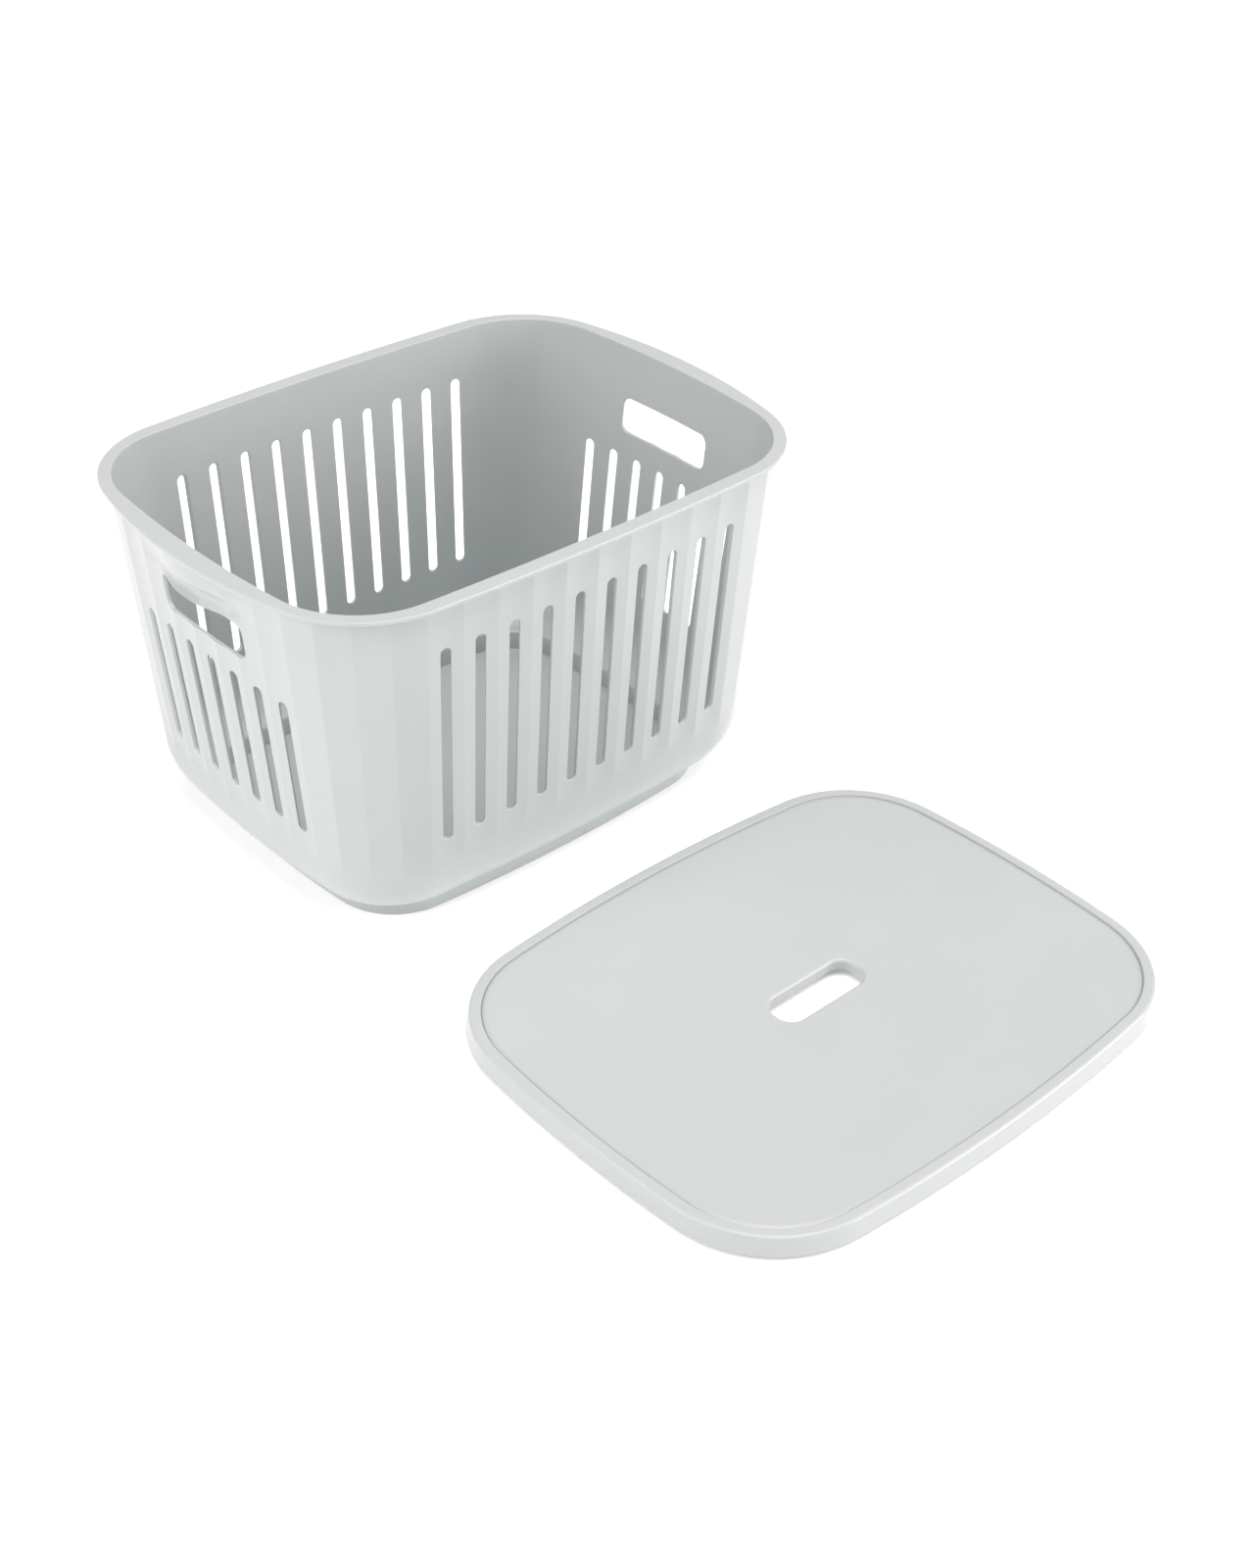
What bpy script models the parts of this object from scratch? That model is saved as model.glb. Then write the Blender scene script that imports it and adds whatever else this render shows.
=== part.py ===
"""Laundry hamper with lid: one injection-moulded basket and one moulded lid.

X runs along the hamper's length, Y across it and Z up. The floor is z = 0 and the
basket stands centred on the origin. The lid lies on the floor in front of it.
"""
import math

import bmesh
import bpy
import numpy as np
from mathutils import Matrix, Vector

MM = 0.001

# ---- Basket: overall sizes, in millimetres -----------------------------------------
HEIGHT = 262.0            # floor to rim top
OPENING_HALF_X = 203.6    # mouth, at the rim top
OPENING_HALF_Y = 148.0
SIDE_BOW = 3200.0         # radius of the long sides, seen from above
END_BOW = 800.0           # radius of the ends, seen from above
MOUTH_CORNER = 66.0
END_DRAFT = 0.101         # how far the ends lean out per unit of height
SIDE_DRAFT = 0.0487
CORNER_DRAFT = 0.053
WALL = 2.2                # at the thinnest, behind the middle of a flute
FLUTE_DEPTH = 1.0

# ---- Rim flange --------------------------------------------------------------------
END_FLANGE = 14.8         # width of the flat rim in the middle of an end
SIDE_FLANGE = 11.5
RIM_SIDE_BOW = 2628.0
RIM_END_BOW = 399.0
RIM_CORNER = 79.0
RIM_THICK = 2.8
RIM_EDGE = 0.7            # radius on the rim's edges

# ---- Bottom ------------------------------------------------------------------------
FOOT_STEP = 13.5          # height of the upright foot
CURVE_RISE = 39.5         # height of the curve between the foot and the wall
CURVE_SHARE = 0.88        # how much of a quarter turn the curve covers
FOOT_INSET_X = 27.2       # how far the curve comes in from the wall
FOOT_INSET_Y = 21.5
FOOT_CORNER = 50.5
FOOT_BOW = 1400.0         # radius of the foot's long sides
FOOT_EDGE = 1.2
FLOOR_THICK = 2.6

# ---- Flutes and slots --------------------------------------------------------------
SIDE_SLOTS = 10
END_SLOTS = 7
CORNER_FLUTES = 4
SIDE_PITCH = 27.2         # at the rim
SIDE_PITCH_TAPER = 0.0058
END_PITCH = 25.3
END_PITCH_TAPER = 0.0070
SLOT_WIDTH = 8.0
SLOT_FLAT = 0.04          # half of what stays flat at the middle of a slot's round end
SLOT_BOTTOM = 74.5
SIDE_SLOT_DROP = 37.4     # rim top to the slots' upper ends
END_SLOT_DROP = 82.0
FLUTE_FOOT = 12.0         # the flutes run out over this height above the bottom curve

# ---- Hand holes and grips ----------------------------------------------------------
HOLE_LENGTH = 88.0
HOLE_HEIGHT = 26.5
HOLE_DROP = 38.0          # rim top to the hole's upper edge
HOLE_CORNER = 7.0
GRIP_REACH = 66.0         # half length over which the wall swells out to the rim
GRIP_RIDGE_DROP = 17.0    # rim top to the grip's fullest line
GRIP_LIP_DROP = 33.5      # rim top to the grip's lower lip
GRIP_TOP_SHARE = 0.97     # how far the swelling goes towards the rim's edge, at the rim
GRIP_RIDGE_SHARE = 0.88   # at its fullest line
GRIP_LIP_SHARE = 0.58     # at the lower lip
GRIP_SCOOP = 0.1          # how much more the hollow between them is drawn in

# ---- Lid ---------------------------------------------------------------------------
LID_END_LAND = 3.4        # skirt's outer face beyond the mouth, at the ends
LID_SIDE_OVERHANG = 4.6   # skirt's outer face beyond the rim, at the sides
LID_SIDE_BOW = 1300.0
LID_END_BOW = 983.0
LID_CORNER = 82.0
LID_WALL = 2.2
SKIRT_LIFT = 2.7          # the locating rib reaches this far below the skirt
SKIRT_HEIGHT = 13.7
SKIRT_LEAN = 1.5
SKIRT_EDGE = 0.4
BORDER_ROUND = 2.8        # radius where the skirt turns into the border
BORDER_WIDTH = 9.5        # skirt's outer face to the step down to the panel
PANEL_STEP = 1.1
PANEL_DISH = 2.4
PANEL_SHARES = (0.2, 0.45, 0.72)   # the dish's mesh rings, as shares of its outline
RIB_CLEARANCE = 1.2       # between the locating rib and the mouth
RIB_THICK = 2.0
HAND_SLOT_LENGTH = 74.0
HAND_SLOT_WIDTH = 26.0
HAND_SLOT_CORNER = 11.0
COLLAR_DEPTH = 8.0
COLLAR_THICK = 2.0
LID_SHIFT_X = 11.3        # the lid's middle from the basket's, where it lies
LID_GAP = 29.1            # between the basket's rim and the lid, seen from above

# ---- Mesh fineness -----------------------------------------------------------------
FLUTE_STEPS = 2           # mesh steps across one flute, an even number
CURVE_RINGS = 6
GRIP_RINGS = 5
LID_QUARTER_STEPS = 22
LID_ROUND_RINGS = 4
CUTTER_CORNER_STEPS = 6
OUTLINE_POINTS = 400      # points an outline's quarter is measured along
CUTTER_REACH = 60.0       # how far a cutter runs through a wall
NUDGE = 1e-6              # keeps a range's last value in, and doubled points apart

PLASTIC = (0.66, 0.675, 0.675, 1.0)
PLASTIC_ROUGHNESS = 0.42


# ---- Scene -------------------------------------------------------------------------
def clear_scene():
    for old in list(bpy.data.objects):
        bpy.data.objects.remove(old, do_unlink=True)


def new_collection(name):
    made = bpy.data.collections.new(name)
    bpy.context.scene.collection.children.link(made)
    return made


def plastic(name):
    material = bpy.data.materials.new(name)
    material.use_nodes = True
    shader = material.node_tree.nodes["Principled BSDF"]
    shader.inputs["Base Color"].default_value = PLASTIC
    shader.inputs["Roughness"].default_value = PLASTIC_ROUGHNESS
    shader.inputs["Metallic"].default_value = 0.0
    return material


# ---- Outlines ----------------------------------------------------------------------
class Outline:
    """A rounded rectangle whose four sides are shallow arcs, tangent to its corners."""

    def __init__(self, half_x, half_y, side_bow, end_bow, corner):
        self.half_x = half_x
        self.half_y = half_y
        self.side_bow = side_bow
        self.end_bow = end_bow
        self.corner = corner

    def inset(self, by):
        return Outline(self.half_x - by, self.half_y - by, self.side_bow - by,
                       self.end_bow - by, self.corner - by)

    def towards(self, other, share):
        """The outline that lies a share of the way from this one to another."""
        def mix(mine, theirs):
            return mine + (theirs - mine) * share
        return Outline(mix(self.half_x, other.half_x), mix(self.half_y, other.half_y),
                       1 / mix(1 / self.side_bow, 1 / other.side_bow),
                       1 / mix(1 / self.end_bow, 1 / other.end_bow),
                       mix(self.corner, other.corner))

    def quarter(self):
        """Points from the middle of the +X end to the middle of the +Y side."""
        side_centre = Vector((0.0, self.half_y - self.side_bow))
        end_centre = Vector((self.half_x - self.end_bow, 0.0))
        side_reach = self.side_bow - self.corner
        end_reach = self.end_bow - self.corner
        apart = (end_centre - side_centre).length
        along = (side_reach ** 2 - end_reach ** 2 + apart ** 2) / (2 * apart)
        across = math.sqrt(max(side_reach ** 2 - along ** 2, 0.0))
        ahead = (end_centre - side_centre) / apart
        corner_centre = side_centre + ahead * along + Vector((ahead.y, -ahead.x)) * across
        side_turn = math.atan2(*(corner_centre - side_centre).yx)
        end_turn = math.atan2(*(corner_centre - end_centre).yx)
        arcs = ((end_centre, self.end_bow, 0.0, end_turn),
                (corner_centre, self.corner, end_turn, side_turn),
                (side_centre, self.side_bow, side_turn, math.pi / 2))
        points = []
        for centre, radius, start, stop in arcs:
            turn = np.linspace(start, stop, OUTLINE_POINTS // len(arcs))
            points.append(np.column_stack((centre.x + radius * np.cos(turn),
                                           centre.y + radius * np.sin(turn))))
        return np.vstack(points)


def close_loop(quarter):
    """Mirror the quarter from +X to +Y into a whole loop, without doubled points."""
    back = quarter[-2::-1] * (-1, 1)
    half = np.vstack((quarter, back))
    return np.vstack((half, -half[1:-1]))


def loop_at(outline, stations):
    """The outline's whole loop at stations of one quarter, given as shares of its length."""
    dense = outline.quarter()
    run = np.concatenate(((0,), np.cumsum(np.linalg.norm(np.diff(dense, axis=0), axis=1))))
    wanted = np.asarray(stations) * run[-1]
    quarter = np.column_stack([np.interp(wanted, run, dense[:, i]) for i in (0, 1)])
    return close_loop(quarter)


def fluted_loop(outline, end_pitch, side_pitch, depth):
    """A loop with its points on the flutes' edges and bottoms, cut in by the depth."""
    dense = outline.quarter()
    run = np.concatenate(((0,), np.cumsum(np.linalg.norm(np.diff(dense, axis=0), axis=1))))
    last_end = np.interp(end_pitch * END_SLOTS / 2, dense[:, 1], run)
    last_side = np.interp(-side_pitch * SIDE_SLOTS / 2, -dense[:, 0], run)
    end_marks = [np.interp(end_pitch * i, dense[:, 1], run)
                 for i in np.arange(0, END_SLOTS / 2, 1 / FLUTE_STEPS)]
    corner_marks = list(np.linspace(last_end, last_side, CORNER_FLUTES * FLUTE_STEPS + 1))
    side_marks = [np.interp(-side_pitch * i, -dense[:, 0], run)
                  for i in np.arange(SIDE_SLOTS / 2, -NUDGE, -1 / FLUTE_STEPS)][1:]
    marks = np.array(end_marks + corner_marks + side_marks)
    quarter = np.column_stack([np.interp(marks, run, dense[:, i]) for i in (0, 1)])
    ahead = np.column_stack([np.gradient(dense[:, i], run + np.arange(len(run)) * NUDGE)
                             for i in (0, 1)])
    slope = np.column_stack([np.interp(marks, run, ahead[:, i]) for i in (0, 1)])
    inward = np.column_stack((-slope[:, 1], slope[:, 0]))
    inward /= np.linalg.norm(inward, axis=1)[:, None]
    phase = (np.arange(len(marks)) / FLUTE_STEPS + END_SLOTS / 2) % 1.0
    cut = depth * 4 * phase * (1 - phase)
    return close_loop(quarter + inward * cut[:, None])


def loft(name, loops, material, collection):
    """A closed solid through loops of (x, y, z) points, with both end loops capped."""
    shape = bmesh.new()
    rings = [[shape.verts.new(Vector(p) * MM) for p in loop] for loop in loops]
    for low, high in zip(rings, rings[1:]):
        for i in range(len(low)):
            j = (i + 1) % len(low)
            shape.faces.new((low[i], low[j], high[j], high[i]))
    for ring in (rings[0][::-1], rings[-1]):
        middle = shape.verts.new(sum((v.co for v in ring), Vector()) / len(ring))
        for i in range(len(ring)):
            shape.faces.new((ring[i], ring[(i + 1) % len(ring)], middle))
    bmesh.ops.recalc_face_normals(shape, faces=shape.faces)
    mesh = bpy.data.meshes.new(name)
    shape.to_mesh(mesh)
    shape.free()
    made = bpy.data.objects.new(name, mesh)
    made.data.materials.append(material)
    collection.objects.link(made)
    return made


def raised(loop, z):
    return np.column_stack((loop, np.full(len(loop), z)))


# ---- Cutters -----------------------------------------------------------------------
def rounded_bar(name, length, width, corner, depth, matrix, collection):
    """A bar with rounded edges along its local Z, for cutting or joining."""
    shape = bmesh.new()
    bmesh.ops.create_cube(shape, size=1.0)
    bmesh.ops.scale(shape, vec=Vector((width, length, depth)) * MM, verts=shape.verts)
    upright = [e for e in shape.edges
               if abs(e.verts[0].co.z - e.verts[1].co.z) > depth * MM / 2]
    bmesh.ops.bevel(shape, geom=upright, offset=corner * MM, segments=CUTTER_CORNER_STEPS,
                    profile=0.5, affect="EDGES")
    mesh = bpy.data.meshes.new(name)
    shape.to_mesh(mesh)
    shape.free()
    made = bpy.data.objects.new(name, mesh)
    made.matrix_world = matrix
    made.hide_render = True
    made.display_type = "WIRE"
    collection.objects.link(made)
    return made


def facing(low, high, out):
    """A frame at the middle of low and high: Y along them, Z as near to out as it can."""
    low, high, out = Vector(low), Vector(high), Vector(out)
    along = (high - low).normalized()
    through = (out - along * out.dot(along)).normalized()
    across = along.cross(through)
    turned = Matrix((across, along, through)).transposed().to_4x4()
    turned.translation = (low + high) / 2 * MM
    return turned


def cut(target, operand, operation="DIFFERENCE"):
    modifier = target.modifiers.new(operand.name, "BOOLEAN")
    modifier.operation = operation
    modifier.solver = "EXACT"
    if isinstance(operand, bpy.types.Collection):
        modifier.operand_type = "COLLECTION"
        modifier.collection = operand
    else:
        modifier.object = operand


# ---- Basket ------------------------------------------------------------------------
def wall_outline(z):
    """The wall's outer face on the flutes' edges, at height z."""
    drop = HEIGHT - z
    thick = WALL + FLUTE_DEPTH
    return Outline(OPENING_HALF_X + thick - END_DRAFT * drop,
                   OPENING_HALF_Y + thick - SIDE_DRAFT * drop,
                   SIDE_BOW, END_BOW, MOUTH_CORNER + thick - CORNER_DRAFT * drop)


def rim_outline():
    return Outline(OPENING_HALF_X + END_FLANGE, OPENING_HALF_Y + SIDE_FLANGE,
                   RIM_SIDE_BOW, RIM_END_BOW, RIM_CORNER)


def curve_top():
    return FOOT_STEP + CURVE_RISE


def foot_outline():
    wall = wall_outline(curve_top())
    return Outline(wall.half_x - FOOT_INSET_X, wall.half_y - FOOT_INSET_Y,
                   FOOT_BOW, END_BOW, FOOT_CORNER)


def pitches(z, outline):
    """End and side flute pitch at height z, drawn in with the outline below the wall."""
    drop = HEIGHT - z
    wall = wall_outline(z)
    return ((END_PITCH - END_PITCH_TAPER * drop) * min(outline.half_y / wall.half_y, 1.0),
            (SIDE_PITCH - SIDE_PITCH_TAPER * drop) * min(outline.half_x / wall.half_x, 1.0))


def ring(z, outline, depth=0.0):
    return raised(fluted_loop(outline, *pitches(z, outline), depth), z)


def grip_share(y, z):
    """How far the wall swells from its own face (0) to the rim's edge (1) at an end."""
    if abs(y) >= GRIP_REACH:
        return 0.0
    upper = math.cos(math.pi * y / (2 * GRIP_REACH)) ** 2
    inside_hole = min(abs(y) * 2 / HOLE_LENGTH, 1.0)
    lip = GRIP_LIP_SHARE * math.cos(math.pi / 2 * inside_hole)
    drop = HEIGHT - z
    if drop <= GRIP_RIDGE_DROP:
        fall = (GRIP_TOP_SHARE - GRIP_RIDGE_SHARE) * (drop / GRIP_RIDGE_DROP) ** 2
        return upper * (GRIP_TOP_SHARE - fall)
    if drop <= GRIP_LIP_DROP:
        down = (drop - GRIP_RIDGE_DROP) / (GRIP_LIP_DROP - GRIP_RIDGE_DROP)
        ease = down * down * (3 - 2 * down)
        scoop = GRIP_SCOOP * upper * math.sin(math.pi * down)
        return GRIP_RIDGE_SHARE * upper * (1 - ease) + lip * ease - scoop
    return lip * max(1 - (drop - GRIP_LIP_DROP) / (HOLE_DROP - GRIP_LIP_DROP), 0.0)


def grip_ring(z, depth):
    """A wall ring that swells out to the rim's edge over each hand hole."""
    wall = ring(z, wall_outline(z), depth)
    edge = ring(z, rim_outline().inset(RIM_EDGE))
    share = np.array([grip_share(y, z) for y in wall[:, 1]])
    share *= np.abs(wall[:, 0]) > OPENING_HALF_X / 2
    return wall + (edge - wall) * share[:, None]


def curve_rings(thick=0.0):
    """The curve from the wall down to the foot, moved inwards by a thickness."""
    wall = wall_outline(curve_top()).inset(thick)
    foot = foot_outline().inset(thick)
    last = math.pi / 2 * CURVE_SHARE
    rings = []
    for turn in np.linspace(0.0, last, CURVE_RINGS):
        inward = (1 - math.cos(turn)) / (1 - math.cos(last))
        fall = (CURVE_RISE - thick) * math.sin(turn) / math.sin(last)
        rings.append(ring(curve_top() - fall, wall.towards(foot, inward)))
    return rings


def outer_rings():
    foot = foot_outline()
    rings = [ring(0.0, foot.inset(FOOT_EDGE)), ring(FOOT_EDGE, foot)]
    rings += reversed(curve_rings())
    for z in (curve_top() + FLUTE_FOOT, SLOT_BOTTOM, HEIGHT / 2):
        rings.append(ring(z, wall_outline(z), FLUTE_DEPTH))
    for drop in (END_SLOT_DROP, HOLE_DROP, GRIP_LIP_DROP):
        rings.append(grip_ring(HEIGHT - drop, FLUTE_DEPTH))
    for drop in np.linspace(GRIP_LIP_DROP, GRIP_RIDGE_DROP, GRIP_RINGS)[1:]:
        rings.append(grip_ring(HEIGHT - drop, FLUTE_DEPTH))
    rings.append(grip_ring(HEIGHT - RIM_THICK, FLUTE_DEPTH))
    return rings


def rim_rings():
    rim = rim_outline()
    mouth = wall_outline(HEIGHT).inset(WALL + FLUTE_DEPTH)
    return [ring(HEIGHT - RIM_THICK, rim.inset(RIM_EDGE / 2)),
            ring(HEIGHT - RIM_EDGE, rim), ring(HEIGHT, rim.inset(RIM_EDGE)),
            ring(HEIGHT, mouth.inset(-RIM_EDGE)), ring(HEIGHT - RIM_EDGE, mouth)]


def inner_rings():
    thick = WALL + FLUTE_DEPTH
    rings = [ring(z, wall_outline(z).inset(thick))
             for z in (HEIGHT - HOLE_DROP, HEIGHT / 2, curve_top() + FLUTE_FOOT)]
    rings += curve_rings(thick)
    floor = foot_outline().inset(thick)
    rings.append(ring(FLOOR_THICK + FOOT_EDGE, floor))
    rings.append(ring(FLOOR_THICK, floor.inset(FOOT_EDGE)))
    return rings


def slot_cutters(collection):
    """One cutter for each slot, with its long axis on the middle of its flute."""
    def place(index, count, top, end):
        low_high = []
        for z in (SLOT_BOTTOM, top):
            wall = wall_outline(z)
            end_pitch, side_pitch = pitches(z, wall)
            if end:
                low_high.append((wall.half_x, (index - (count - 1) / 2) * end_pitch, z))
            else:
                low_high.append(((index - (count - 1) / 2) * side_pitch, wall.half_y, z))
        return low_high

    for kind, count, top, end in (("side", SIDE_SLOTS, HEIGHT - SIDE_SLOT_DROP, False),
                                  ("end", END_SLOTS, HEIGHT - END_SLOT_DROP, True)):
        for index in range(count):
            for side in (1, -1):
                mirror = Vector((side, 1, 1)) if end else Vector((1, side, 1))
                low, high = (Vector(p) * mirror for p in place(index, count, top, end))
                out = Vector((side, 0, 0)) if end else Vector((0, side, 0))
                rounded_bar(f"{kind}_slot_cutter", (high - low).length, SLOT_WIDTH,
                            SLOT_WIDTH / 2 - SLOT_FLAT, CUTTER_REACH, facing(low, high, out),
                            collection)


def hole_cutters(collection):
    for side in (1, -1):
        top = HEIGHT - HOLE_DROP
        low = Vector((side * OPENING_HALF_X, 0, top - HOLE_HEIGHT))
        high = Vector((side * OPENING_HALF_X, 0, top))
        rounded_bar("hand_hole_cutter", HOLE_HEIGHT, HOLE_LENGTH, HOLE_CORNER, CUTTER_REACH,
                    facing(low, high, (side, 0, 0)), collection)


def make_basket(collection, cutters):
    rings = outer_rings() + rim_rings() + inner_rings()
    basket = loft("basket", rings, plastic("basket_plastic"), collection)
    slot_cutters(cutters)
    hole_cutters(cutters)
    cut(basket, cutters)
    return basket


# ---- Lid ---------------------------------------------------------------------------
def lid_outline():
    return Outline(OPENING_HALF_X + LID_END_LAND, OPENING_HALF_Y + SIDE_FLANGE
                   + LID_SIDE_OVERHANG, LID_SIDE_BOW, LID_END_BOW, LID_CORNER)


def lid_ring(z, outline, share=1.0):
    stations = np.linspace(0.0, 1.0, LID_QUARTER_STEPS + 1)
    return raised(loop_at(outline, stations) * share, z)


def panel_height(share):
    """Height of the dished panel's top face, from its edge (1) to its middle (0)."""
    edge = SKIRT_LIFT + SKIRT_HEIGHT - PANEL_STEP
    return edge - PANEL_DISH * (1 - share ** 2)


def lid_rings():
    outer = lid_outline()
    top = SKIRT_LIFT + SKIRT_HEIGHT
    border = outer.inset(SKIRT_LEAN)
    panel = outer.inset(BORDER_WIDTH)
    mouth = wall_outline(HEIGHT).inset(WALL + FLUTE_DEPTH)
    rib = mouth.inset(RIB_CLEARANCE)
    under = panel_height(1.0) - LID_WALL
    rings = [lid_ring(panel_height(s), panel, s) for s in PANEL_SHARES]
    rings.append(lid_ring(panel_height(1.0), panel))
    rings.append(lid_ring(top, panel.inset(-PANEL_STEP)))
    for turn in np.linspace(math.pi / 2, 0.0, LID_ROUND_RINGS):
        rings.append(lid_ring(top - BORDER_ROUND * (1 - math.sin(turn)),
                              border.inset(BORDER_ROUND * (1 - math.cos(turn)))))
    rings.append(lid_ring(SKIRT_LIFT + SKIRT_EDGE, outer))
    rings.append(lid_ring(SKIRT_LIFT, outer.inset(SKIRT_EDGE)))
    rings.append(lid_ring(SKIRT_LIFT, outer.inset(LID_WALL - SKIRT_EDGE)))
    rings.append(lid_ring(SKIRT_LIFT + SKIRT_EDGE, outer.inset(LID_WALL)))
    rings.append(lid_ring(under, border.inset(LID_WALL)))
    rings.append(lid_ring(under, rib))
    rings.append(lid_ring(0.0, rib))
    rings.append(lid_ring(0.0, rib.inset(RIB_THICK)))
    rings.append(lid_ring(under, rib.inset(RIB_THICK)))
    rings += [lid_ring(panel_height(s) - LID_WALL, panel, s) for s in PANEL_SHARES[::-1]]
    return rings


def make_lid(collection, cutters):
    lid = loft("lid", lid_rings(), plastic("lid_plastic"), collection)
    middle = panel_height(0.0)
    for name, extra, low, high, operation in (
            ("collar_join", COLLAR_THICK, middle - COLLAR_DEPTH, middle - LID_WALL / 2,
             "UNION"),
            ("hand_slot_cutter", 0.0, middle - CUTTER_REACH / 2, middle + CUTTER_REACH / 2,
             "DIFFERENCE")):
        place = Matrix.Translation(Vector((0, 0, (low + high) / 2)) * MM)
        bar = rounded_bar(name, HAND_SLOT_WIDTH + 2 * extra, HAND_SLOT_LENGTH + 2 * extra,
                          HAND_SLOT_CORNER + extra, high - low, place, cutters)
        bar.parent = lid
        cut(lid, bar, operation)
    apart = rim_outline().half_y + LID_GAP + lid_outline().half_y
    lid.location = Vector((LID_SHIFT_X, -apart, 0.0)) * MM
    return lid


clear_scene()
hamper = new_collection("laundry_hamper")
wall_cutters = new_collection("basket_cutters")
lid_cutters = new_collection("lid_cutters")
make_basket(hamper, wall_cutters)
make_lid(hamper, lid_cutters)
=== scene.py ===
import math

import bmesh
import bpy
import numpy as np
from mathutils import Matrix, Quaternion, Vector


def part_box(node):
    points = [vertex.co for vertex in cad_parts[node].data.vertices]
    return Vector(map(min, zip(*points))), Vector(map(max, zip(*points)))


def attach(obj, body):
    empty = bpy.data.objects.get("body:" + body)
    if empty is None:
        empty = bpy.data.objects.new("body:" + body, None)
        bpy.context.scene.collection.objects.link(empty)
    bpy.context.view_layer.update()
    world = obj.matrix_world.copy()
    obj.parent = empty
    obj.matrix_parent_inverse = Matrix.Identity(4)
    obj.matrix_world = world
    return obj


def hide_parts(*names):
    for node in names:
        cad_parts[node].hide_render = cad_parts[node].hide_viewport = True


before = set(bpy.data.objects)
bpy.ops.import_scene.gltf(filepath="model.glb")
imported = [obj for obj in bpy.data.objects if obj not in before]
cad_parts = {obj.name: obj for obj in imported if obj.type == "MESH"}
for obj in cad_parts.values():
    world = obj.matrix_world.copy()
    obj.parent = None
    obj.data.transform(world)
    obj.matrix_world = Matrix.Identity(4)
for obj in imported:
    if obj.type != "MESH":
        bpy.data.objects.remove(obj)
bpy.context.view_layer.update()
MM = 0.001

# ---- Camera ------------------------------------------------------------------------
# The hamper is seen from above its near left corner, from a little over a metre and a
# half, with a normal lens and the camera very slightly tilted.
AIM = Vector((0.0846, -0.0928, 0.0))
DISTANCE = 1.6456
AZIMUTH = math.radians(-43.47)
ELEVATION = math.radians(35.40)
TILT = math.radians(1.81)

lens = bpy.data.cameras.new("camera")
lens.lens = 51.74
lens.sensor_width = 36.0
camera = bpy.data.objects.new("camera", lens)
back = Vector((math.sin(AZIMUTH) * math.cos(ELEVATION),
               -math.cos(AZIMUTH) * math.cos(ELEVATION), math.sin(ELEVATION)))
camera.location = AIM + back * DISTANCE
camera.rotation_mode = "QUATERNION"
camera.rotation_quaternion = ((-back).to_track_quat("-Z", "Y")
                              @ Quaternion((0.0, 0.0, 1.0), TILT))
bpy.context.scene.collection.objects.link(camera)
bpy.context.scene.camera = camera
bpy.context.scene.view_settings.view_transform = "Standard"


# ---- Studio table and light --------------------------------------------------------
# A white acrylic table top, lit a little from below so that it shows almost no shadow,
# in an evenly lit white room. One large soft box hangs over the hamper, one stands off
# its left end, and one stands in front of it to the right.
def linear(code):
    """An sRGB hex colour as linear RGBA."""
    shares = [int(code[i:i + 2], 16) / 255 for i in (1, 3, 5)]
    return tuple(s / 12.92 if s <= 0.04045 else ((s + 0.055) / 1.055) ** 2.4
                 for s in shares) + (1.0,)


TABLE_REACH = 6.0
table_shape = bmesh.new()
bmesh.ops.create_grid(table_shape, x_segments=1, y_segments=1, size=TABLE_REACH)
table_mesh = bpy.data.meshes.new("table_top")
table_shape.to_mesh(table_mesh)
table_shape.free()
table_top = bpy.data.objects.new("table_top", table_mesh)
bpy.context.scene.collection.objects.link(table_top)
acrylic = bpy.data.materials.new("lit_white_acrylic")
acrylic.use_nodes = True           # its soft white face hides where the table ends
acrylic_shader = acrylic.node_tree.nodes["Principled BSDF"]
acrylic_shader.inputs["Base Color"].default_value = linear("#F3F6F6")
acrylic_shader.inputs["Roughness"].default_value = 0.8
acrylic_shader.inputs["Emission Color"].default_value = linear("#FFFFFF")
acrylic_shader.inputs["Emission Strength"].default_value = 0.2
table_mesh.materials.append(acrylic)

room = bpy.data.worlds.new("white_room")
room.use_nodes = True
room.node_tree.nodes["Background"].inputs["Color"].default_value = linear("#FBF5F4")
room.node_tree.nodes["Background"].inputs["Strength"].default_value = 0.55
bpy.context.scene.world = room

for name, place, width, power in (("soft_box_over", (0.1, -0.5, 2.4), 2.0, 57.0),
                                  ("soft_box_left", (-2.2, 0.2, 1.2), 1.8, 49.0),
                                  ("soft_box_right", (1.7, -2.4, 1.0), 1.8, 80.0)):
    soft_box = bpy.data.lights.new(name, "AREA")
    soft_box.size = width
    soft_box.energy = power
    soft_box.color = linear("#FFF2F2")[:3]
    holder = bpy.data.objects.new(name, soft_box)
    holder.location = place
    holder.rotation_mode = "QUATERNION"
    holder.rotation_quaternion = (-Vector(place)).to_track_quat("-Z", "Y")
    bpy.context.scene.collection.objects.link(holder)


# ---- Basket ------------------------------------------------------------------------
# The tub of the hamper: one injection moulding in light grey polypropylene, with a flat
# rim, shallow upright flutes pierced by slots, and a hand hole under the rim at each
# end. The wall swells out over each hand hole to give the fingers a rounded grip.
HEIGHT = 262.0
OPENING_HALF_X, OPENING_HALF_Y = 203.6, 148.0
SIDE_BOW, END_BOW, MOUTH_CORNER = 3200.0, 800.0, 66.0
END_DRAFT, SIDE_DRAFT, CORNER_DRAFT = 0.101, 0.0487, 0.053
WALL, FLUTE_DEPTH = 2.2, 1.0
SKIN = WALL + FLUTE_DEPTH          # from the flutes' edges to the smooth inner face

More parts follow.
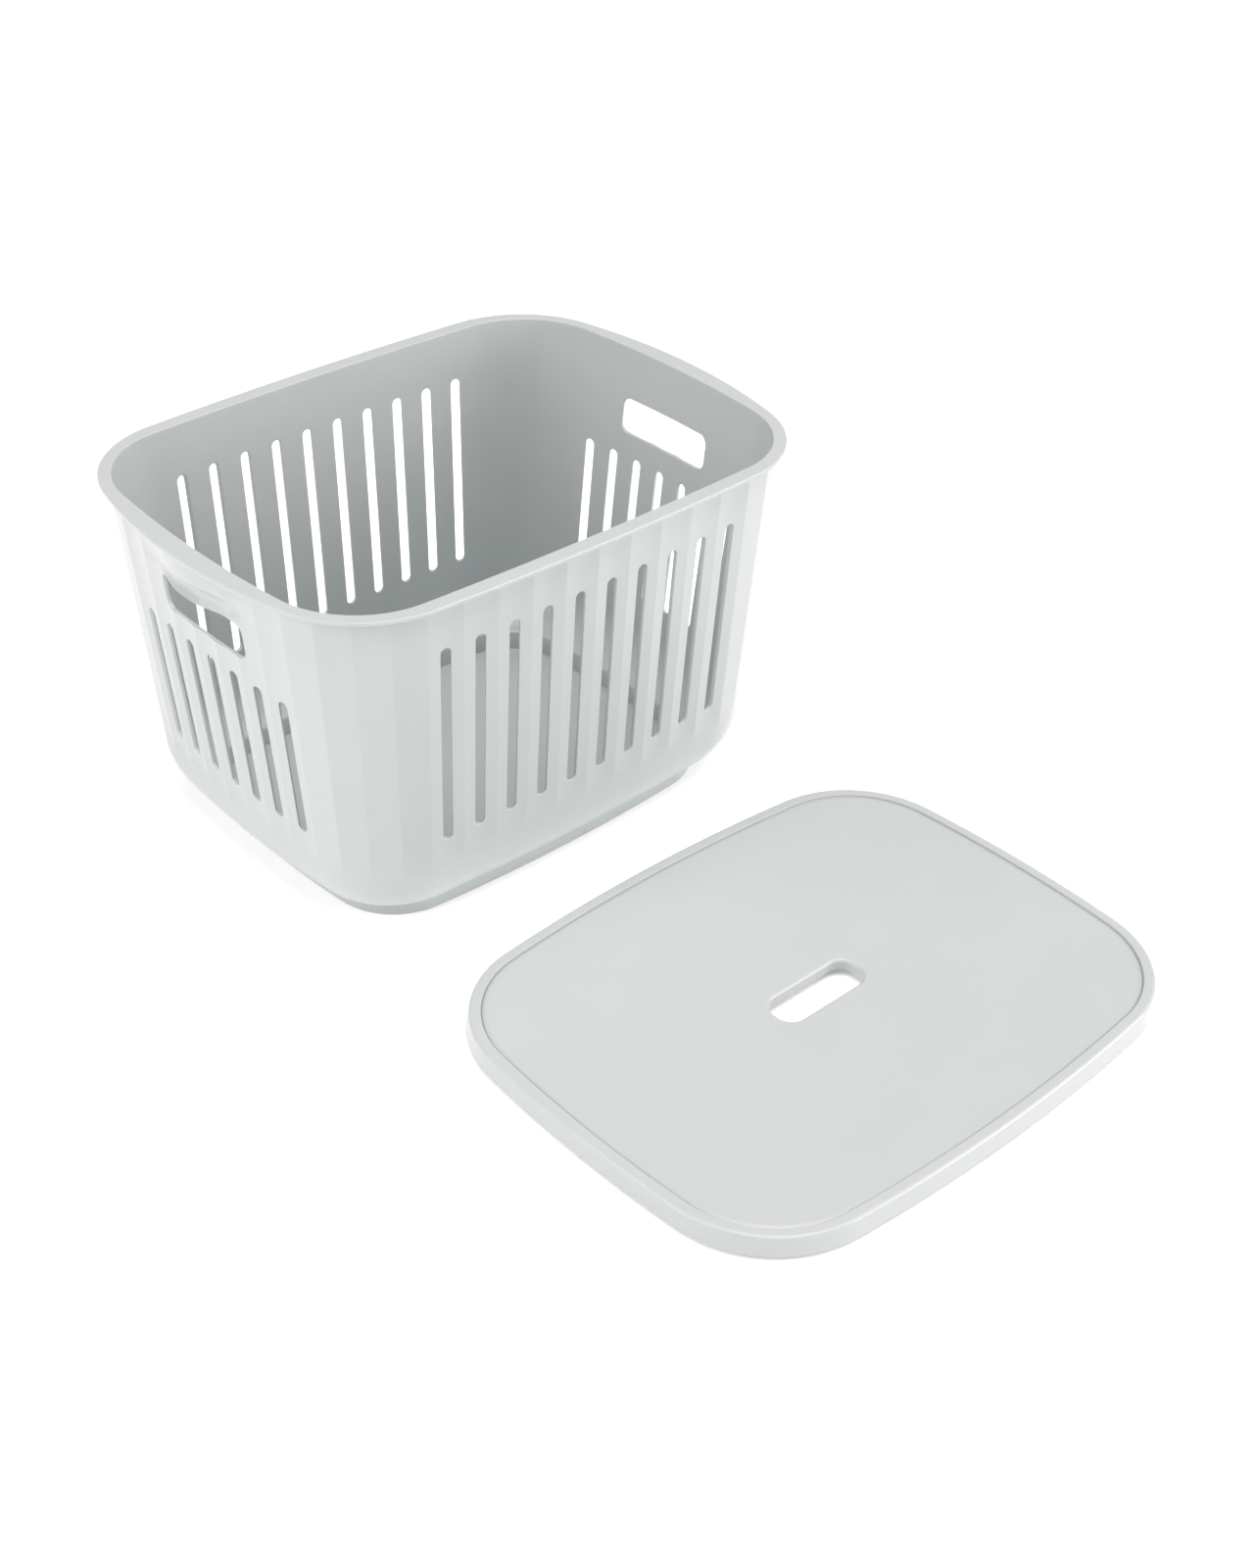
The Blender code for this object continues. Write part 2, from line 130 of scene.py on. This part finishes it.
END_FLANGE, SIDE_FLANGE = 14.8, 11.5
RIM_SIDE_BOW, RIM_END_BOW, RIM_CORNER = 2628.0, 399.0, 79.0
RIM_THICK, RIM_EDGE, RIM_UNDER_EDGE, MOUTH_EDGE = 2.8, 0.8, 0.4, 0.5

FOOT_STEP, CURVE_RISE, CURVE_SHARE = 13.5, 39.5, 0.88
CURVE_TOP = FOOT_STEP + CURVE_RISE
FOOT_INSET_X, FOOT_INSET_Y, FOOT_CORNER, FOOT_BOW = 27.2, 21.5, 50.5, 1400.0
CURVE_STEPS = 12
FOOT_EDGE, FOOT_RING, FOOT_RECESS, FLOOR_THICK = 1.2, 4.0, 1.0, 2.6

SIDE_SLOTS, END_SLOTS, CORNER_FLUTES = 10, 7, 4
SIDE_PITCH, SIDE_PITCH_TAPER = 27.2, 0.0058
END_PITCH, END_PITCH_TAPER = 25.3, 0.0070
FLUTE_FOOT = 12.0
QUARTER_FLUTES = END_SLOTS / 2 + CORNER_FLUTES + SIDE_SLOTS / 2
LOOP_FLUTES = 4 * QUARTER_FLUTES
# Where the mesh's upright lines cross each flute, closest together at its edges.
FLUTE_PHASES = (0.0, 0.04, 0.16, 0.28, 0.36, 0.44, 0.5, 0.56, 0.64, 0.72, 0.84, 0.96)

SLOT_HALF = 4.0
SLOT_LOW = 74.5
SIDE_SLOT_HIGH, END_SLOT_HIGH = HEIGHT - 37.4, HEIGHT - 82.0
HOLE_HALF_LENGTH, HOLE_CORNER = 44.0, 7.0
HOLE_LOW, HOLE_HIGH = HEIGHT - 64.5, HEIGHT - 38.0
EDGE_ROUND = 0.6                   # radius left by the tool on slot and hole edges

GRIP_REACH, RIDGE_DROP, LIP_DROP = 66.0, 17.0, 33.5
GRIP_TOP_SHARE, GRIP_RIDGE_SHARE, GRIP_LIP_SHARE = 0.97, 0.88, 0.58
GRIP_SCOOP = 0.42                  # hollowed more deeply than the solid body's grip

ARC_POINTS, CORNER_POINTS = 60, 160
PATCH_SHARES = (0.08, 0.3, 0.65)   # how far the patch's rings go towards its opening
CAP_SHARES = (0.8, 0.5, 0.2)


class Outline:
    """A rounded rectangle whose four sides are shallow arcs, tangent to its corners."""

    def __init__(self, half_x, half_y, side_bow, end_bow, corner):
        self.half_x, self.half_y = half_x, half_y
        self.side_bow, self.end_bow, self.corner = side_bow, end_bow, corner

    def inset(self, by):
        return Outline(self.half_x - by, self.half_y - by, self.side_bow - by,
                       self.end_bow - by, self.corner - by)

    def towards(self, other, share):
        """The outline that lies a share of the way from this one to another."""
        def mix(mine, theirs):
            return mine + (theirs - mine) * share
        return Outline(mix(self.half_x, other.half_x), mix(self.half_y, other.half_y),
                       1 / mix(1 / self.side_bow, 1 / other.side_bow),
                       1 / mix(1 / self.end_bow, 1 / other.end_bow),
                       mix(self.corner, other.corner))

    def quarter(self):
        """Points from the middle of the +X end to the middle of the +Y side, and how
        far along the outline each one is."""
        side_centre = Vector((0.0, self.half_y - self.side_bow))
        end_centre = Vector((self.half_x - self.end_bow, 0.0))
        side_reach = self.side_bow - self.corner
        end_reach = self.end_bow - self.corner
        apart = (end_centre - side_centre).length
        along = (side_reach ** 2 - end_reach ** 2 + apart ** 2) / (2 * apart)
        across = math.sqrt(max(side_reach ** 2 - along ** 2, 0.0))
        ahead = (end_centre - side_centre) / apart
        corner_centre = side_centre + ahead * along + Vector((ahead.y, -ahead.x)) * across
        side_turn = math.atan2(*(corner_centre - side_centre).yx)
        end_turn = math.atan2(*(corner_centre - end_centre).yx)
        points = []
        for centre, radius, start, stop, count in (
                (end_centre, self.end_bow, 0.0, end_turn, ARC_POINTS),
                (corner_centre, self.corner, end_turn, side_turn, CORNER_POINTS),
                (side_centre, self.side_bow, side_turn, math.pi / 2, ARC_POINTS)):
            turn = np.linspace(start, stop, count, endpoint=stop == math.pi / 2)
            points.append(np.column_stack((centre.x + radius * np.cos(turn),
                                           centre.y + radius * np.sin(turn))))
        points = np.vstack(points)
        steps = np.linalg.norm(np.diff(points, axis=0), axis=1)
        return points, np.concatenate(((0.0,), np.cumsum(steps)))


def wall_outline(z):
    """The wall's outer face on the flutes' edges, at height z."""
    drop = HEIGHT - z
    return Outline(OPENING_HALF_X + SKIN - END_DRAFT * drop,
                   OPENING_HALF_Y + SKIN - SIDE_DRAFT * drop,
                   SIDE_BOW, END_BOW, MOUTH_CORNER + SKIN - CORNER_DRAFT * drop)


RIM = Outline(OPENING_HALF_X + END_FLANGE, OPENING_HALF_Y + SIDE_FLANGE,
              RIM_SIDE_BOW, RIM_END_BOW, RIM_CORNER)
MOUTH = wall_outline(HEIGHT).inset(SKIN)
BASE = wall_outline(CURVE_TOP)
FOOT = Outline(BASE.half_x - FOOT_INSET_X, BASE.half_y - FOOT_INSET_Y, FOOT_BOW, END_BOW,
               FOOT_CORNER)


def pitches(z, outline):
    """End and side flute pitch at height z, drawn in with the outline below the wall."""
    drop = HEIGHT - z
    wall = wall_outline(z)
    return ((END_PITCH - END_PITCH_TAPER * drop) * min(outline.half_y / wall.half_y, 1.0),
            (SIDE_PITCH - SIDE_PITCH_TAPER * drop) * min(outline.half_x / wall.half_x, 1.0))


def flute_ring(z, outline, stations, depth=0.0):
    """Points (x, y, z) on an outline at stations, which count flutes from the +X end."""
    points, run = outline.quarter()
    end_pitch, side_pitch = pitches(z, outline)
    quadrant = np.floor(stations / QUARTER_FLUTES).astype(int) % 4
    place = stations % QUARTER_FLUTES
    place = np.where(quadrant % 2 == 0, place, QUARTER_FLUTES - place)
    last_end, last_side = END_SLOTS / 2, QUARTER_FLUTES - SIDE_SLOTS / 2

    def end_run(flutes):
        return np.interp(end_pitch * flutes, points[:, 1], run)

    def side_run(flutes):
        return np.interp(-side_pitch * flutes, -points[:, 0], run)

    turn = (place - last_end) / CORNER_FLUTES
    corner = end_run(last_end) * (1 - turn) + side_run(SIDE_SLOTS / 2) * turn
    along = np.where(place < last_end, end_run(place),
                     np.where(place > last_side, side_run(QUARTER_FLUTES - place), corner))
    slope = np.gradient(points, run, axis=0)
    spot, ahead = (np.column_stack([np.interp(along, run, of[:, i]) for i in (0, 1)])
                   for of in (points, slope))
    inward = np.column_stack((-ahead[:, 1], ahead[:, 0]))
    inward /= np.linalg.norm(inward, axis=1)[:, None]
    phase = (place + 0.5) % 1.0
    spot = spot + inward * (depth * 4 * phase * (1 - phase))[:, None]
    spot[:, 0] *= np.where((quadrant == 0) | (quadrant == 3), 1, -1)
    spot[:, 1] *= np.where(quadrant < 2, 1, -1)
    return np.column_stack((spot, np.full(len(spot), z)))


def grip_share(y, z):
    """How far the wall swells from its own face (0) to the rim's edge (1) at an end."""
    upper = np.cos(np.pi / 2 * np.minimum(np.abs(y) / GRIP_REACH, 1.0)) ** 2
    lip = GRIP_LIP_SHARE * np.cos(np.pi / 2 * np.minimum(np.abs(y) / HOLE_HALF_LENGTH, 1.0))
    drop = HEIGHT - z
    if drop <= RIDGE_DROP:
        fall = (GRIP_TOP_SHARE - GRIP_RIDGE_SHARE) * (drop / RIDGE_DROP) ** 2
        return upper * (GRIP_TOP_SHARE - fall)
    if drop <= LIP_DROP:
        down = (drop - RIDGE_DROP) / (LIP_DROP - RIDGE_DROP)
        ease = down * down * (3 - 2 * down)
        scoop = GRIP_SCOOP * upper * math.sin(math.pi * down)
        return GRIP_RIDGE_SHARE * upper * (1 - ease) + lip * ease - scoop
    return lip * max(1 - (drop - LIP_DROP) / (HEIGHT - HOLE_HIGH - LIP_DROP), 0.0)


def outer_face(z, stations):
    """The fluted outside of the wall, with the grips swelling out of its ends."""
    grow = min(max((z - CURVE_TOP) / FLUTE_FOOT, 0.0), 1.0)
    depth = FLUTE_DEPTH * grow * grow * (3 - 2 * grow)
    wall = flute_ring(z, wall_outline(z), stations, depth)
    edge = flute_ring(z, RIM.inset(RIM_EDGE), stations)
    share = grip_share(wall[:, 1], z) * (np.abs(wall[:, 0]) > OPENING_HALF_X / 2)
    return wall + (edge - wall) * share[:, None]


def inner_face(z, stations):
    return flute_ring(z, wall_outline(z).inset(SKIN), stations)


class Shell:
    """Points and faces of one closed surface, gathered ring by ring."""

    def __init__(self):
        self.points, self.faces = [], []

    def ring(self, points):
        start = len(self.points)
        self.points.extend(tuple(p) for p in points)
        return list(range(start, len(self.points)))

    def band(self, low, high, skip=()):
        """Faces between two closed rings of the same count, leaving out some columns."""
        for i in range(len(low)):
            if i not in skip:
                j = (i + 1) % len(low)
                self.faces.append((low[i], low[j], high[j], high[i]))

    def cap(self, ring, shares):
        """Closes a flat ring with smaller and smaller copies of itself."""
        flat = np.array([self.points[i] for i in ring])
        middle = flat.mean(axis=0)
        for share in shares:
            inner = self.ring(middle + (flat - middle) * share)
            self.band(ring, inner)
            ring = inner
        centre = self.ring([middle])[0]
        for i in range(len(ring)):
            self.faces.append((ring[i], ring[(i + 1) % len(ring)], centre))

    def piece(self, name):
        mesh = bpy.data.meshes.new(name)
        mesh.from_pydata([Vector(p) * MM for p in self.points], [], self.faces)
        shape = bmesh.new()
        shape.from_mesh(mesh)
        bmesh.ops.recalc_face_normals(shape, faces=shape.faces)
        shape.to_mesh(mesh)
        shape.free()
        mesh.shade_smooth()
        made = bpy.data.objects.new(name, mesh)
        bpy.context.scene.collection.objects.link(made)
        even = made.modifiers.new("even_shading", "WEIGHTED_NORMAL")
        even.weight = 60
        return made


# Ring heights up the wall, as (height, how many rings to the next one).
wall_bands = ((CURVE_TOP, 6), (CURVE_TOP + FLUTE_FOOT, 3), (SLOT_LOW - SLOT_HALF, 4),
              (SLOT_LOW + SLOT_HALF, 12), (END_SLOT_HIGH - SLOT_HALF, 4),
              (END_SLOT_HIGH + SLOT_HALF, 1), (HOLE_LOW - HOLE_CORNER, 4),
              (HOLE_LOW + HOLE_CORNER, 2), (HOLE_HIGH - HOLE_CORNER, 1),
              (SIDE_SLOT_HIGH - SLOT_HALF, 4), (HEIGHT - LIP_DROP, 1),
              (HEIGHT - LIP_DROP + EDGE_ROUND, 7), (HEIGHT - RIDGE_DROP, 6),
              (HEIGHT - RIM_THICK, 0))
heights = [wall_bands[0][0]]
for (low, count), (high, _) in zip(wall_bands, wall_bands[1:]):
    heights += list(np.linspace(low, high, count + 1)[1:])
row_of = {round(z, 3): i for i, z in enumerate(heights)}
stations = np.array([flute - 0.5 + phase for flute in range(int(LOOP_FLUTES))
                     for phase in FLUTE_PHASES]) % LOOP_FLUTES

# Each opening: flutes it is centred on, flutes it takes up, its half width, lowest and
# highest height, corner radius, and the heights its patch of wall runs between.
half_loop = LOOP_FLUTES / 2
side_middle = [q * QUARTER_FLUTES for q in (1, 3)]
end_middle = [0.0, half_loop]
side_slots = [m + i - (SIDE_SLOTS - 1) / 2 for m in side_middle for i in range(SIDE_SLOTS)]
end_slots = [m + i - (END_SLOTS - 1) / 2 for m in end_middle for i in range(END_SLOTS)]
openings = (
    (side_slots, 1, SLOT_HALF, SLOT_LOW, SIDE_SLOT_HIGH, SLOT_HALF,
     SLOT_LOW - SLOT_HALF, HEIGHT - LIP_DROP, False),
    (end_slots, 1, SLOT_HALF, SLOT_LOW, END_SLOT_HIGH, SLOT_HALF,
     SLOT_LOW - SLOT_HALF, END_SLOT_HIGH + SLOT_HALF, True),
    (end_middle, 5, HOLE_HALF_LENGTH, HOLE_LOW, HOLE_HIGH, HOLE_CORNER,
     HOLE_LOW - HOLE_CORNER, HEIGHT - LIP_DROP, True))

shell = Shell()
outer = [shell.ring(outer_face(z, stations)) for z in heights]
inner = [shell.ring(inner_face(z, stations)) for z in heights]

columns = len(FLUTE_PHASES)
open_cells = [set() for _ in heights]
for centres, span, half_wide, low, high, corner, block_low, block_high, at_end in openings:
    rows = range(row_of[round(block_low, 3)], row_of[round(block_high, 3)] + 1)
    edge_cells = []
    for centre in centres:
        first = int(round((centre + 0.5 - span / 2) * columns))
        across = [(first + i) % len(stations) for i in range(span * columns + 1)]
        edge_cells.append([(rows[0], c) for c in across]
                          + [(r, across[-1]) for r in rows[1:]]
                          + [(rows[-1], c) for c in across[-2::-1]]
                          + [(r, across[0]) for r in rows[-2:0:-1]])
        for r in rows[:-1]:
            open_cells[r].update(across[:-1])
    # One patch is worked out for all the openings of a kind, as distances from the
    # opening's middle, and then laid on the wall at each of them.
    middle = (low + high) / 2
    turns = [stations[c] - centres[0] for _, c in edge_cells[0]]
    turns = [(t + half_loop) % LOOP_FLUTES - half_loop for t in turns]
    block = np.array([(t * pitches(heights[r], wall_outline(heights[r]))[0 if at_end else 1],
                       heights[r] - middle) for t, (r, _) in zip(turns, edge_cells[0])])
    core = np.clip(block, (corner - half_wide, corner - (high - low) / 2),
                   (half_wide - corner, (high - low) / 2 - corner))
    away = (block - core) / np.linalg.norm(block - core, axis=1)[:, None]
    edge_turn = np.radians((0.0, 30.0, 60.0, 90.0))
    rounding = [(EDGE_ROUND * (1 - math.sin(t)), EDGE_ROUND / SKIN * (1 - math.cos(t)))
                for t in edge_turn]
    flat = core + away * (corner + EDGE_ROUND)
    layers = [(block + (flat - block) * share, 0.0) for share in PATCH_SHARES]
    layers += [(core + away * (corner + out), through) for out, through in rounding]
    layers += [(core + away * (corner + out), 1 - through)
               for out, through in rounding[::-1]]
    layers += [(block + (flat - block) * share, 1.0) for share in PATCH_SHARES[::-1]]
    patches = np.zeros((len(centres), len(layers), len(block), 3))
    for i, (spots, through) in enumerate(layers):
        for j, (x, z) in enumerate(spots):
            z += middle
            pitch = pitches(z, wall_outline(z))[0 if at_end else 1]
            at = (np.array(centres) + x / pitch) % LOOP_FLUTES
            spot = 0.0
            if through < 1.0:
                spot = outer_face(z, at) * (1 - through)
            if through > 0.0:
                spot = spot + inner_face(z, at) * through
            patches[:, i, j] = spot
    for patch, cells in zip(patches, edge_cells):
        rings = [[outer[r][c] for r, c in cells]]
        rings += [shell.ring(layer) for layer in patch]
        rings.append([inner[r][c] for r, c in cells])
        for one, two in zip(rings, rings[1:]):
            shell.band(one, two)

for r in range(len(heights) - 1):
    shell.band(outer[r], outer[r + 1], open_cells[r])
    shell.band(inner[r], inner[r + 1], open_cells[r])


def rounded(radius, steps, start, stop):
    """(inset, rise) pairs round a quarter of an edge, between two turns in degrees."""
    return [(radius * (1 - math.cos(math.radians(t))), radius * math.sin(math.radians(t)))
            for t in np.linspace(start, stop, steps)]


# The rim runs out from the wall's top, round its two outer edges, and in to the mouth.
rim_rings = [flute_ring(HEIGHT - RIM_THICK + RIM_UNDER_EDGE + rise, RIM.inset(inset),
                        stations) for inset, rise in rounded(RIM_UNDER_EDGE, 3, -90, 0)]
rim_rings += [flute_ring(HEIGHT - RIM_EDGE + rise, RIM.inset(inset), stations)
              for inset, rise in rounded(RIM_EDGE, 5, 0, 90)]
rim_rings += [flute_ring(HEIGHT - MOUTH_EDGE + rise, MOUTH.inset(-inset), stations)
              for inset, rise in rounded(MOUTH_EDGE, 4, 90, 0)]
last = outer[-1]
for points in rim_rings:
    now = shell.ring(points)
    shell.band(last, now)
    last = now
shell.band(last, inner[-1])


def curve_rings(thick):
    """The curve from under the wall down to the foot, moved inwards by a thickness."""
    wall, foot = BASE.inset(thick), FOOT.inset(thick)
    last = math.pi / 2 * CURVE_SHARE
    rings = []
    for turn in np.linspace(0.0, last, CURVE_STEPS)[1:]:
        inward = (1 - math.cos(turn)) / (1 - math.cos(last))
        fall = (CURVE_RISE - thick) * math.sin(turn) / math.sin(last)
        rings.append(flute_ring(CURVE_TOP - fall, wall.towards(foot, inward), stations))
    return rings


# Under the wall the outside curves in to an upright foot, hollowed slightly underneath.
foot_rings = curve_rings(0.0)
foot_rings += [flute_ring(FOOT_EDGE + rise, FOOT.inset(inset), stations)
               for inset, rise in rounded(FOOT_EDGE, 5, 0, -90)]
foot_rings += [flute_ring(0.0, FOOT.inset(FOOT_RING), stations),
               flute_ring(FOOT_RECESS, FOOT.inset(FOOT_RING + FOOT_RECESS), stations)]
last = outer[0]
for points in foot_rings:
    now = shell.ring(points)
    shell.band(now, last)
    last = now
shell.cap(last, CAP_SHARES)

# The inside follows the same curve down to the floor.
floor = FOOT.inset(SKIN)
floor_rings = curve_rings(SKIN)
floor_rings += [flute_ring(FLOOR_THICK + FOOT_EDGE + rise, floor.inset(inset), stations)
                for inset, rise in rounded(FOOT_EDGE, 4, 0, -90)]
last = inner[0]
for points in floor_rings:
    now = shell.ring(points)
    shell.band(now, last)
    last = now
shell.cap(last, CAP_SHARES)

basket = shell.piece("moulded_basket")


def add_node(tree, kind, settings, links=()):
    """A node with its settings by socket or property name, and (socket, source) links."""
    node = tree.nodes.new(kind)
    for name, value in settings.items():
        if isinstance(name, int) or name in node.inputs:
            node.inputs[name].default_value = value
        else:
            setattr(node, name, value)
    for socket, source in links:
        tree.links.new(source, node.inputs[socket])
    return node


# Polypropylene is a soft-feeling, slightly waxy plastic. Moulded against a fine spark
# grain it has a satin gloss, with faint clouds of tone where the melt flowed and slow
# waves where the thin wall sank as it cooled.
GRAIN_SIZE = 0.9                   # mm; the real grain is about 0.1 mm, too fine to show
CLOUD_SIZE = 55.0                  # mm
SINK_SIZE = 28.0                   # mm


def moulded_polypropylene(name, tone, cloud_tone):
    material = bpy.data.materials.new(name)
    material.use_nodes = True
    tree = material.node_tree
    shader = tree.nodes["Principled BSDF"]
    shader.inputs["IOR"].default_value = 1.49
    shader.inputs["Metallic"].default_value = 0.0
    place = add_node(tree, "ShaderNodeTexCoord", {}).outputs["Object"]

    def noise(size, detail):
        return add_node(tree, "ShaderNodeTexNoise",
                        {"Scale": 1 / (size * MM), "Detail": detail},
                        (("Vector", place),)).outputs["Fac"]

    clouds, grain, sinks = noise(CLOUD_SIZE, 3.0), noise(GRAIN_SIZE, 2.0), noise(SINK_SIZE, 1.0)
    mix = add_node(tree, "ShaderNodeMix", {"data_type": "RGBA"}, ((0, clouds),))
    mix.inputs[6].default_value = linear(tone)
    mix.inputs[7].default_value = linear(cloud_tone)
    tree.links.new(mix.outputs[2], shader.inputs["Base Color"])
    gloss = add_node(tree, "ShaderNodeMapRange", {"To Min": 0.26, "To Max": 0.36},
                     (("Value", grain),))
    tree.links.new(gloss.outputs["Result"], shader.inputs["Roughness"])
    waves = add_node(tree, "ShaderNodeBump", {"Strength": 0.5, "Distance": 0.25 * MM},
                     (("Height", sinks),))
    spark = add_node(tree, "ShaderNodeBump", {"Strength": 0.25, "Distance": 0.03 * MM},
                     (("Height", grain), ("Normal", waves.outputs["Normal"])))
    tree.links.new(spark.outputs["Normal"], shader.inputs["Normal"])
    return material


basket.data.materials.append(
    moulded_polypropylene("basket_moulded_polypropylene", "#A3ACAC", "#9EA8A8"))
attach(basket, "basket_body")
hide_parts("basket")


# ---- Lid ---------------------------------------------------------------------------
# The lid is a second moulding in the same plastic, laid on the table in front of the
# basket. Its panel dips a little inside a narrow raised border, a short skirt hangs
# round it, and a collar lines the hand slot in the middle.
LID_END_LAND, LID_SIDE_OVERHANG = 3.4, 4.6
LID_SIDE_BOW, LID_END_BOW, LID_CORNER = 1300.0, 983.0, 82.0
LID_WALL, SKIRT_LIFT, SKIRT_HEIGHT, SKIRT_LEAN, SKIRT_EDGE = 2.2, 2.7, 13.7, 1.5, 0.4
BORDER_ROUND, BORDER_WIDTH, PANEL_STEP, PANEL_DISH = 2.8, 9.5, 1.1, 2.4
STEP_ROUND, GROOVE_WIDTH, GROOVE_DEPTH = 0.4, 1.1, 1.1
RIB_CLEARANCE, RIB_THICK = 1.2, 2.0
HAND_HALF_LENGTH, HAND_HALF_WIDTH, HAND_CORNER = 37.0, 13.0, 11.0
HAND_BOW = 9000.0                  # the slot's sides are as good as straight
HAND_ROUND, COLLAR_DEPTH, COLLAR_THICK, COLLAR_EDGE = 2.4, 8.0, 2.0, 0.5
LID_QUARTER_STEPS = 90
PANEL_SHARES = (0.04, 0.12, 0.25, 0.4, 0.55, 0.7, 0.83, 0.93, 0.98, 1.0)
UNDER_SHARES = (1.0, 0.9, 0.75, 0.6, 0.45, 0.3, 0.15, 0.05, 0.0)
GROOVE_SHARES = (0.7, 0.35)

lid_low, lid_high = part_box("lid")
lid_place = (np.array(lid_low) + np.array(lid_high)) / 2 / MM
LID_TOP = SKIRT_LIFT + SKIRT_HEIGHT
lid_edge = Outline(OPENING_HALF_X + LID_END_LAND,
                   OPENING_HALF_Y + SIDE_FLANGE + LID_SIDE_OVERHANG,
                   LID_SIDE_BOW, LID_END_BOW, LID_CORNER)
border = lid_edge.inset(SKIRT_LEAN)
panel = lid_edge.inset(BORDER_WIDTH)
rib = MOUTH.inset(RIB_CLEARANCE)
hand_slot = Outline(HAND_HALF_LENGTH, HAND_HALF_WIDTH, HAND_BOW, HAND_BOW, HAND_CORNER)


def lid_loop(outline):
    """A whole loop of evenly spaced (x, y) points, starting in the middle of an end."""
    points, run = outline.quarter()
    wanted = np.linspace(0.0, run[-1], LID_QUARTER_STEPS + 1)
    quarter = np.column_stack([np.interp(wanted, run, points[:, i]) for i in (0, 1)])
    half = np.vstack((quarter, quarter[-2::-1] * (-1, 1)))
    return np.vstack((half, -half[1:-1]))


panel_loop = lid_loop(panel)
panel_turn = np.unwrap(np.arctan2(panel_loop[:, 1], panel_loop[:, 0]))
panel_reach = np.linalg.norm(panel_loop, axis=1)


def dished(loop, below=0.0):
    """A loop laid on the dished panel, or so far below its top face."""
    turn = np.arctan2(loop[:, 1], loop[:, 0]) % (2 * np.pi)
    share = np.linalg.norm(loop, axis=1) / np.interp(turn, panel_turn, panel_reach,
                                                     period=2 * np.pi)
    height = LID_TOP - PANEL_STEP - PANEL_DISH * (1 - np.minimum(share, 1.0) ** 2) - below
    return np.column_stack((loop, height))


def level(outline, z):
    loop = lid_loop(outline)
    return np.column_stack((loop, np.full(len(loop), z)))


lid_middle = LID_TOP - PANEL_STEP - PANEL_DISH
collar_foot = lid_middle - COLLAR_DEPTH
collar = hand_slot.inset(-COLLAR_THICK)
under = LID_TOP - PANEL_STEP - LID_WALL

# From the collar's foot up through the hand slot and over its rounded edge.
lid_rings = [level(hand_slot.inset(-inset), collar_foot + COLLAR_EDGE + rise)
             for inset, rise in rounded(COLLAR_EDGE, 4, -90, 0)]
for inset, rise in rounded(HAND_ROUND, 7, 0, 90):
    lid_rings.append(dished(lid_loop(hand_slot.inset(-inset)), HAND_ROUND - rise))
# Across the panel, from the slot's shape to the border's.
slot_lip = lid_loop(hand_slot.inset(-HAND_ROUND))
groove_loop = lid_loop(panel.inset(GROOVE_WIDTH))
for share in PANEL_SHARES:
    lid_rings.append(dished(slot_lip * (1 - share) + groove_loop * share))
# Through the narrow groove at the foot of the step, over the border, down the skirt.
groove_foot = LID_TOP - PANEL_STEP - GROOVE_DEPTH
lid_rings += [level(panel.inset(GROOVE_WIDTH * share), groove_foot)
              for share in GROOVE_SHARES]
lid_rings += [level(panel.inset(-inset), LID_TOP - STEP_ROUND + rise)
              for inset, rise in rounded(STEP_ROUND, 4, 0, 90)]
lid_rings += [level(border.inset(inset), LID_TOP - BORDER_ROUND + rise)
              for inset, rise in rounded(BORDER_ROUND, 8, 90, 0)]
lid_rings += [level(lid_edge.inset(inset), SKIRT_LIFT + SKIRT_EDGE + rise)
              for inset, rise in rounded(SKIRT_EDGE, 3, 0, -90)]
# Up inside the skirt, round the locating rib and back under the panel to the collar.
lid_rings += [level(lid_edge.inset(LID_WALL - SKIRT_EDGE), SKIRT_LIFT),
              level(lid_edge.inset(LID_WALL), SKIRT_LIFT + SKIRT_EDGE),
              level(border.inset(LID_WALL), under - STEP_ROUND),
              level(border.inset(LID_WALL + STEP_ROUND), under),
              level(rib.inset(-STEP_ROUND), under), level(rib, under - STEP_ROUND),
              level(rib, SKIRT_EDGE), level(rib.inset(SKIRT_EDGE), 0.0),
              level(rib.inset(RIB_THICK - SKIRT_EDGE), 0.0),
              level(rib.inset(RIB_THICK), SKIRT_EDGE),
              level(rib.inset(RIB_THICK), under - STEP_ROUND)]
collar_loop = lid_loop(collar)
rib_loop = lid_loop(rib.inset(RIB_THICK + STEP_ROUND))
for share in UNDER_SHARES:
    lid_rings.append(dished(collar_loop * (1 - share) + rib_loop * share, LID_WALL))
lid_rings += [level(collar.inset(inset), collar_foot + COLLAR_EDGE + rise)
              for inset, rise in rounded(COLLAR_EDGE, 4, 0, -90)]

lid_shell = Shell()
lid_indices = [lid_shell.ring(points + (lid_place[0], lid_place[1], 0.0))
               for points in lid_rings]
for one, two in zip(lid_indices, lid_indices[1:] + lid_indices[:1]):
    lid_shell.band(one, two)
lid = lid_shell.piece("moulded_lid")
lid.data.materials.append(
    moulded_polypropylene("lid_moulded_polypropylene", "#A3ACAC", "#9EA8A8"))
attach(lid, "lid_body")
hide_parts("lid")
